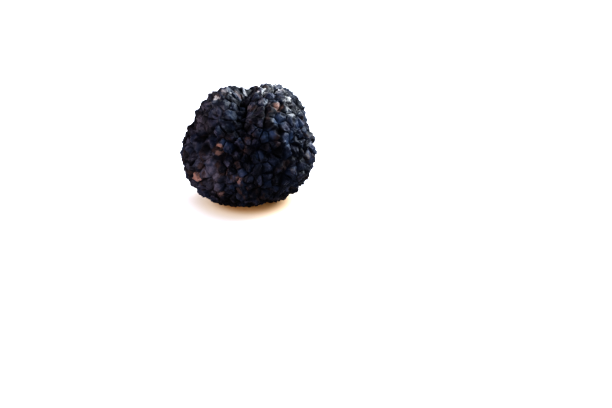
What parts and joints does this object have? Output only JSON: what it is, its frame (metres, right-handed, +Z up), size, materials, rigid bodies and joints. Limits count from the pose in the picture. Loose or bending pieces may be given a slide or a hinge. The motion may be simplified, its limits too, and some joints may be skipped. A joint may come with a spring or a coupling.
{
  "type": "black truffle",
  "caption": "Whole fresh black truffle: a rounded, lobed fruit body with a crown cleft, covered all over in small pyramid-shaped warts, resting on a small flat spot.",
  "frame": {"origin": "middle of the base of the bounding box, on the plane of the flat spot that the truffle rests on", "axes": "+Z up; +X to the right across the two upper lobes, the longest way; -Y towards the face that the crown cleft runs down"},
  "size_m": [0.046, 0.043, 0.04],
  "materials": {
    "truffle_skin": "dry, warty fungus rind; blue-black with a satin sheen on the wart faces, brown-black in the grooves, a few tips worn to pinkish brown"
  },
  "bodies": {
    "root": {"truffle": "truffle_skin"}
  },
  "joints": []
}
